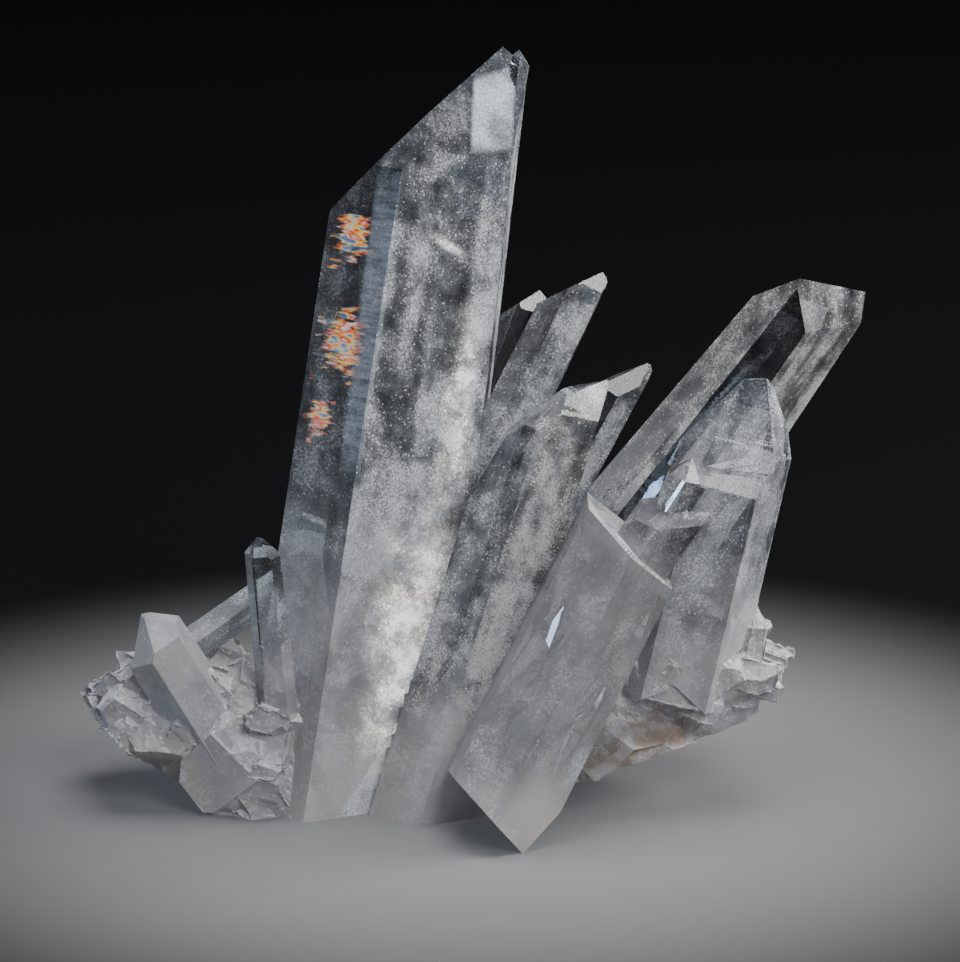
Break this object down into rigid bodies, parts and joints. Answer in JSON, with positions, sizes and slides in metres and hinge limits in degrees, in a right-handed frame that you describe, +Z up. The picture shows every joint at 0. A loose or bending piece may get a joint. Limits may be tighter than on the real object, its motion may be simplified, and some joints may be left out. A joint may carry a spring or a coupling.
{
  "type": "quartz crystal cluster",
  "caption": "Cluster of clear pointed crystals grown together out of one milky root, for display, resting on a flat cut base.",
  "frame": {"origin": "on the flat cut that the cluster rests on, under the middle of its bounding box", "axes": "+Z up from the cut; +X to the right, towards the long crystal that leans out; -Y towards the viewer of the side that shows best"},
  "size_m": [0.1208, 0.0694, 0.1112],
  "materials": {
    "quartz": "clear glossy crystal faces, milky and finely broken towards the root"
  },
  "bodies": {
    "root": {"quartz_cluster": "quartz"}
  },
  "joints": []
}
